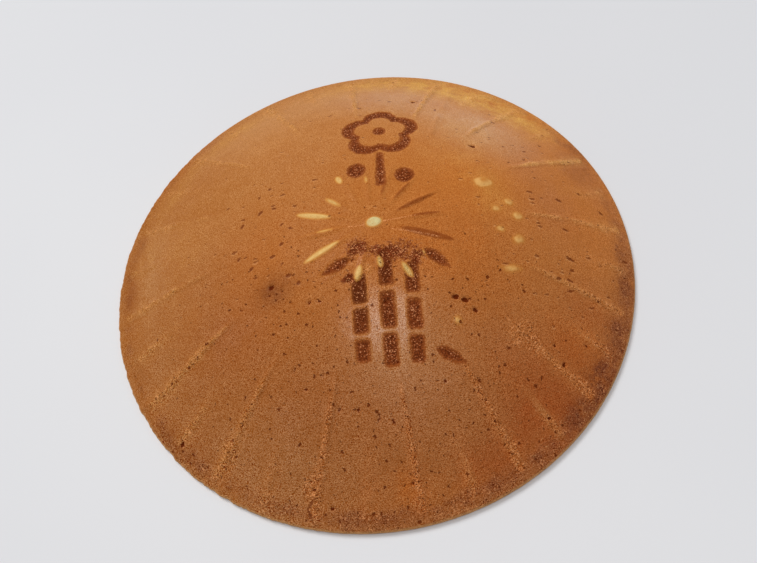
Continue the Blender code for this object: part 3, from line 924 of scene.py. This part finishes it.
# How the noises roughen the edges of features, and the distances at which each starts and is full
edges = {
    "markGap": ({"small": 0.3, "patchy": 0.12, "grain": 0.14}, (0.35, -0.2)),
    "brownGap": ({"small": 0.3, "grain": 0.1}, (0.4, -0.4)),
    "spotTop": ({"small": 0.3}, (-1.1, 0.2)),
    "pitGap": ({"grain": 0.16, "small": 0.32}, (-0.08, -0.26)),
    "nickGap": ({"small": 0.3, "grain": 0.14}, (0.14, -0.12)),
    "nickHighlight": ({"small": 0.3, "grain": 0.2}, (0, -0.4)),
}

# Heights of the finest relief, in millimetres
relief = {
    "grain": 0.06,
    "small": 0.02,
    "flake": 0.05,
    "speck": 0.04,
    "granule": 0.12,
    "roughGrain": 0.06,
    "markFloor": 0.12,
    "crackle": 0.22,
    "pore": 0.2,
    "dash": 0.5,  # of a pore's depth
}


class Crust(Finish):  # the cracker's skin, painted layer over layer
    def __init__(self):
        super().__init__("toastedCrust")
        self.acrossX = self.node("SeparateXYZ", {}, {"Vector": self.place}, "X")
        self.backY = Wire(self, self.acrossX.socket.node.outputs["Y"])
        self.share = self.layer("rimShare")
        self.underside = self.layer("underside")
        self.slow = self.noise(skin["slow"], 2)
        self.medium = self.noise(skin["medium"], 3, 0.6)
        self.patchy = self.noise(skin["patchy"], 3, 0.6, 2)
        self.small = self.noise(skin["small"], 3, 0.6)
        self.grain = self.noise(skin["grain"])
        self.colour = "amber"

    def mix(self, share, first, second, blend="MIX"):  # a name stands for that tone of the crust
        tones = [tint(*crustTones[tone]) if isinstance(tone, str) else tone for tone in (first, second)]
        return super().mix(share, *tones, blend)

    def paint(self, share, tone):  # lays a share of a tone, kept between 0 and 1, over the skin
        self.colour = self.mix(share, self.colour, tone)

    def uneven(self, value, changes):
        for name, weight in changes.items():
            value = value + getattr(self, name) * weight
        return value

    def paintPatch(self, tone):
        steady, changes = patchShares[tone]
        self.paint(self.layer(tone + "Tone") * self.uneven(steady, changes), tone)

    def inside(self, name):  # 1 within the edge of a feature that the mesh keeps as a distance
        changes, band = edges[name]
        return self.uneven(self.layer(name), changes).step(*band)

    def paintGround(self):  # caramel at the far left, browner towards the viewer, with soft patches, the pale and rosy ones partly painted sheen
        slow, medium = self.slow, self.medium
        farLeft = ((self.backY - self.acrossX) * 11 + slow * 0.22 + medium * 0.12).step(-0.3, 0.8)
        near = self.backY * -13 + self.acrossX * 2 + slow * 0.2 + medium * 0.12
        self.nearSide = near.step(-0.2, 0.75)
        self.nearRight = (self.backY * -8 + self.acrossX * 8 + slow * 0.2).step(-0.35, 0.7)
        self.paint(farLeft, "caramel")
        self.paint(self.nearSide, "brown")
        # the pale and rosy patches are partly painted sheen
        for tone in ("rosy", "orange", "pale", "gold", "red"):
            self.paintPatch(tone)

    def paintRoughPlaces(self):  # spokes, crumbly patches and the rim
        slow, medium, patchy, small = self.slow, self.medium, self.patchy, self.small
        share, nearSide, nearRight = self.share, self.nearSide, self.nearRight
        rimBand = share + medium * 0.02 + small * 0.01 + patchy * 0.012 + nearRight * 0.008
        rimInside = rimBand.step(*rimBands["rough"]) * (1 - self.underside)
        ribLine, ribSkirt, crumbs = self.layer("ribLine"), self.layer("ribSkirt"), self.layer("crumbs")
        ribRough = (ribLine + patchy * 0.28 + small * 0.3).step(0.2, 0.85) * (ribLine * 4).atMost(1)
        crumbly = (crumbs + patchy * 0.2 + small * 0.35).step(0.3, 0.9) * (crumbs * 4).atMost(1)
        grainy = ribRough.atLeast(crumbly)
        rimCrumbs = rimInside * (0.12 + nearSide * 0.26) * (1 + patchy * 1.4 + medium * 0.5)
        rimCrumbs = rimCrumbs + ribSkirt * (0.2 + patchy * 0.4 + small * 0.3)
        self.rough = (grainy * (0.5 + nearSide * 0.5) + rimCrumbs.atLeast(0)).atMost(1)
        rimOuter = (share + small * 0.006).step(*rimBands["outer"])
        rimTone = rimInside * (0.08 + nearRight * 0.4 + slow * 0.15 + patchy * 0.5)
        rimTone = rimTone * (1 - rimOuter * (0.6 - nearRight * 0.5))
        self.paint(rimTone, "rim")
        self.paint(rimOuter * (0.5 - nearRight * 0.4) * (0.4 + nearSide * 0.6), "rimToast")
        self.paintPatch("burnt")
        leftSide = (self.acrossX * -16).step(0, 1)
        # spokes painted lighter on the far and left side as a painted highlight, darker towards the viewer
        ribTone = self.mix(nearSide * (1 - leftSide * 0.7), "ribLitSide", "rib")
        self.paint(ribSkirt * (0.3 + patchy * 0.35 + small * 0.2), ribTone)
        self.paint(grainy * (0.6 - nearSide * 0.15), ribTone)

    def mottle(self):  # fine lighter and darker grains everywhere, stronger towards the viewer
        medium, patchy, small, rough = self.medium, self.patchy, self.small, self.rough
        amount = (0.6 + self.nearSide * 0.38 + rough * 0.35) * (1 + patchy * 0.4 + medium * 0.3)
        strength = self.grain * amount + small * (0.05 + rough * 0.1) + medium * 0.06 + patchy * 0.05
        strength = strength + self.layer("panel") * skin["panelShade"]
        shades = {}
        for number, (weight, drift) in enumerate(zip(skin["grainShade"], skin["drift"])):
            shades[number] = 1 + strength * weight + self.acrossX * drift
        shade = self.node("CombineColor", {}, shades)
        self.colour = self.mix(1, self.colour, shade, "MULTIPLY")

    def paintFlakes(self):  # pale flakes, dark specks and granules, closer together on the rough places
        nearSide, rough = self.nearSide, self.rough
        busier = nearSide * 0.08 + rough * 0.1
        self.flake = (self.noise(skin["flake"], seed=3) + busier).step(0.58, 0.76)
        self.speck = (self.noise(skin["speck"], seed=7) + busier).step(0.58, 0.76)
        self.paint(self.speck * (0.33 + nearSide * 0.42 + rough * 0.2), "granuleShade")
        self.paint(self.flake * (0.32 + nearSide * 0.43 + rough * 0.15), "flake")
        self.granule = self.noise(skin["granule"], seed=9)
        lumps = self.granule + self.grain * 0.25 + self.small * 0.3
        self.paint(lumps.step(0.25, 0.5) * rough * cover["granule"], "granule")
        self.paint(lumps.step(-0.3, -0.55) * rough * cover["granuleShade"], "granuleShade")

    def placePores(self):  # some cells of a bent pattern hold one, round near the viewer, else drawn out
        wavy = {"Vector": self.place, "Scale": metre / pores["bendSize"], "Detail": 1}
        warp = self.node("TexNoise", {}, wavy, "Color")
        bend = self.vector("SCALE", {0: warp, "Scale": pores["bend"] * mm})
        bent = self.vector("ADD", {0: self.place, 1: bend})
        drawnOut = self.vector("MULTIPLY", {0: bent, 1: pores["dashSquash"]})
        inRow = (self.share + self.patchy * 0.012).step(*rimBands["poresFrom"])
        inRow = inRow * self.share.step(*rimBands["poresTo"]) * self.nearSide
        anywhere, zoned, rough, row = pores["holeShares"]
        holeShare = anywhere + self.layer("poreZone") * zoned + self.rough * rough + inRow * row
        self.hole = self.spots(bent, pores["hole"], holeShare, pores["holeRadius"])
        dashShare = self.layer("dashZone") * pores["dashShare"]
        self.dash = self.spots(drawnOut, pores["dash"], dashShare, pores["dashRadius"])
        # a paler lip beside each drawn-out pore, a painted highlight
        aside = [shift * mm for shift in pores["dashHighlight"]]
        lower = self.vector("ADD", {0: drawnOut, 1: aside})
        lip = self.spots(lower, pores["dash"], dashShare, pores["dashRadius"])
        self.dashHighlight = lip * (1 - self.dash)

    def paintPetalsAndRays(self):  # the rosette's brown petals, and hair-fine rays painted as a highlight on their crests
        small, grain = self.small, self.grain
        self.paint(self.inside("brownGap") * (0.68 + small * 0.35 + grain * 0.1), "petal")
        fromRay = self.layer("rayAcross") + small * 0.08
        onRay = fromRay.atLeast(0 - fromRay).step(0.26, 0.08) * self.layer("rayNear").step(0.35, 0.75)
        # painted highlight along the rays' crests
        self.paint(onRay * (0.3 + grain * 0.9 + small * 0.5), "granule")

    def paintBlisters(self):  # swollen pale spots with a lit top
        blister = self.layer("spotGap") + self.small * 0.45 + self.patchy * 0.25 + self.grain * 0.15
        self.paint(blister.step(0.9, -0.4) * cover["blister"], "blister")
        crescent = blister.step(0.15, -0.5) * self.inside("spotTop")
        self.paint(crescent * (0.85 + self.small * 0.2), "blisterTop")

    def paintMarks(self):  # dark, speckled floors of the pressed marks
        medium, patchy, small, grain = self.medium, self.patchy, self.small, self.grain
        self.markMask = self.inside("markGap")
        core = (self.layer("markGap") + medium * 0.35 + patchy * 0.25 + small * 0.2).step(-0.15, -1)
        floor = self.mix(core, "markEdge", "markGround")
        self.markGrain = self.noise(skin["markGrain"], seed=5)
        dark = (self.markGrain + patchy * 0.2 + small * 0.1).step(0.15, -0.4) * (0.25 + core * 0.5)
        floor = self.mix(self.layer("charred") * cover["markChar"], floor, "char")
        floor = self.mix(dark, floor, "mark")
        light = (self.markGrain + grain * 0.2 - patchy * 0.15).step(0.3, 0.58) * (0.35 + core * 0.45)
        floor = self.mix(light, floor, "markFlake")
        self.paint(self.markMask * cover["mark"], floor)

    def paintScorch(self):  # the crackled band above the bamboo
        self.crackled = self.noise(skin["charGrain"], 2, 0.6, 11) + self.markGrain * 0.4
        scorch = self.layer("scorch")
        side = scorch + self.patchy * 0.25 + self.small * 0.3 + self.crackled * 0.35
        self.scorchMask = side.step(0.3, 0.65) * scorch.step(0.05, 0.3)
        dark = self.crackled.step(0.15, -0.5) * cover["scorchChar"]
        tone = self.mix(dark, "scorch", "char")
        light = (self.markGrain + self.crackled * 0.3).step(0.2, 0.5) * cover["scorchFlake"]
        self.paint(self.scorchMask, self.mix(light, tone, "granule"))

    def paintCream(self):  # pale petals and dot, toasted at their edges
        creamSide = self.layer("paleGap") + self.small * 0.16 + self.grain * 0.06
        self.paint(creamSide.step(0.3, -0.25) * cover["creamEdge"], "creamEdge")
        dotMiddle = [value * mm for value in (*rosette["dot"][:2], rosette["dotHeight"])]
        fromDot = self.vector("DISTANCE", {0: self.place, 1: dotMiddle}, 1)
        onDot = fromDot.step(*(radius * mm for radius in rosette["dotFade"]))
        cream = self.mix(onDot, "cream", "dot")
        self.paint(creamSide.step(-0.1, -0.65) * (0.8 + self.small * 0.5 + self.grain * 0.15), cream)

    def paintPores(self):  # broken bubbles, pores and nicks, painted dark as the shade inside them, with a painted highlight on their lips
        self.pitMask = self.inside("pitGap")
        self.paint(self.hole * cover["hole"], "creviceShade")
        self.paint(self.pitMask * cover["pit"], "pit")
        # painted highlight on the lips of pores and nicks
        self.paint(self.dashHighlight.atLeast(self.inside("nickHighlight")) * cover["lip"], "flake")
        nick = self.inside("nickGap") * cover["nick"]
        self.paint((self.dash * cover["dash"]).atLeast(nick), "creviceShade")

    def paintUnderside(self):  # and the bared edge
        small = self.small
        mottled = (self.medium + small * 0.6).step(-0.8, 0.8)
        underColour = self.mix(mottled, "under", "caramel")
        self.paint(self.underside * (1 - self.hole) * cover["underside"], underColour)
        self.paint(self.layer("edgeWall") * (0.75 + small * 0.3 + self.grain * 0.3), "wall")

    def fineRelief(self):
        grain, small, rough = self.grain, self.small, self.rough
        height = grain * relief["grain"] + small * relief["small"]
        height = height + self.flake * relief["flake"] - self.speck * relief["speck"]
        height = height + rough * (self.granule * relief["granule"] + grain * relief["roughGrain"])
        height = height + self.markMask * self.markGrain * relief["markFloor"]
        height = height + self.scorchMask * self.crackled * relief["crackle"]
        height = height - (self.hole + self.dash * relief["dash"]) * relief["pore"]
        return self.node("Bump", {}, {"Strength": 1, "Distance": mm, "Height": height}, "Normal")

    def glaze(self):  # a thin shine on the smooth skin, broken up by the grain
        openSkin = (1 - self.pitMask.atLeast(self.hole)) * (1 - self.scorchMask) * (1 - self.underside)
        smoothSkin = (1 - self.rough * 0.85) * self.layer("markGap").step(0.25, 0.7) * openSkin
        sparkle = (self.grain + self.small * 0.25 + self.granule * 0.5 + 0.8).atLeast(0.05)
        return (skin["gloss"] + skin["glaze"] * self.layer("glazed")) * smoothSkin * sparkle


def crustFinish():
    crust = Crust()
    crust.paintGround()
    crust.paintRoughPlaces()
    crust.mottle()
    crust.paintFlakes()
    crust.placePores()
    crust.paintPetalsAndRays()
    crust.paintBlisters()
    crust.paintMarks()
    crust.paintScorch()
    crust.paintCream()
    crust.paintPores()
    crust.paintUnderside()
    bump = crust.fineRelief()
    coat = crust.glaze()
    shader = crust.node("BsdfPrincipled", {}, {
        "Base Color": crust.colour, "Roughness": skin["roughness"] + crust.small * 0.06, "Normal": bump,
        "Coat Weight": coat, "Coat Roughness": skin["glazeRoughness"], "Specular IOR Level": skin["shine"],
    })
    return crust.close(shader)


# The table and the light
setting = {
    "table": tint(232, 233, 237),
    "tableCloud": tint(228, 229, 234),
    "cloudSize": 160,
    "tableRoughness": 0.6,
    "tableSize": 3.0,
    "skyColour": (0.92, 0.955, 1.0),
    "skyStrength": 0.33,
    # azimuth and elevation in degrees, distance, width, power, colour
    "lights": {
        "windowLight": (122, 52, 14.0, 6.5, 1010.0, (1.0, 0.99, 0.965)),
        "ceilingLamp": (-100, 84, 1.4, 0.5, 4.4, (1.0, 0.94, 0.86)),
    },
}


def tableFinish():
    table = Finish("paleTable")
    cloud = table.noise(setting["cloudSize"], 2)
    colour = table.mix(cloud.step(-1, 1), setting["table"], setting["tableCloud"])
    sockets = {"Base Color": colour, "Roughness": setting["tableRoughness"]}
    return table.close(table.node("BsdfPrincipled", {}, sockets))


def softLight(name, azimuth, elevation, reach, size, power, colour):
    lamp = bpy.data.lights.new(name, "AREA")
    lamp.shape = "DISK"
    lamp.size = size
    lamp.energy = power
    lamp.color = colour
    light = placed(name, lamp)
    level = reach * math.cos(math.radians(elevation))
    light.location = (level * math.cos(math.radians(azimuth)), level * math.sin(math.radians(azimuth)),
                      reach * math.sin(math.radians(elevation)))
    light.rotation_euler = (-light.location).to_track_quat("-Z", "Y").to_euler()


def buildSetting():
    half = setting["tableSize"] / 2
    mesh = bpy.data.meshes.new("tableTop")
    corners = [(-half, -half, 0), (half, -half, 0), (half, half, 0), (-half, half, 0)]
    mesh.from_pydata(corners, [], [(0, 1, 2, 3)])
    mesh.materials.append(tableFinish())
    placed("tableTop", mesh)

    for name, values in setting["lights"].items():
        softLight(name, *values)
    sky = bpy.data.worlds.new("paleRoom")
    sky.use_nodes = True
    background = sky.node_tree.nodes["Background"]
    background.inputs["Color"].default_value = (*setting["skyColour"], 1.0)
    background.inputs["Strength"].default_value = setting["skyStrength"]
    scene.world = sky
    scene.view_settings.view_transform = "Standard"
    print("table and light ready")


# The camera, where the photograph was taken from, in millimetres
viewpoint = {
    "place": (8.1, -106.1, 176.7),
    "right": (0.9838, -0.1396, -0.1124),
    "up": (0.177, 0.8571, 0.4837),
    "lens": 33.29,
    "sensor": 36.0,
    "nearest": 10.0,  # nothing closer is drawn
}


def buildCamera():
    camera = placed("camera", bpy.data.cameras.new("camera"))
    camera.data.lens = viewpoint["lens"]
    camera.data.sensor_width = viewpoint["sensor"]
    camera.data.clip_start = viewpoint["nearest"] * mm
    right = Vector(viewpoint["right"]).normalized()
    back = right.cross(Vector(viewpoint["up"])).normalized()
    turned = Matrix((right, back.cross(right), back)).transposed().to_4x4()
    camera.matrix_world = Matrix.Translation(Vector(viewpoint["place"]) * mm) @ turned
    scene.camera = camera


buildCamera()
cracker = buildCracker()
cracker.data.materials.append(crustFinish())
print("crust finished")
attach(cracker, "root")
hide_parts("cracker")
buildSetting()
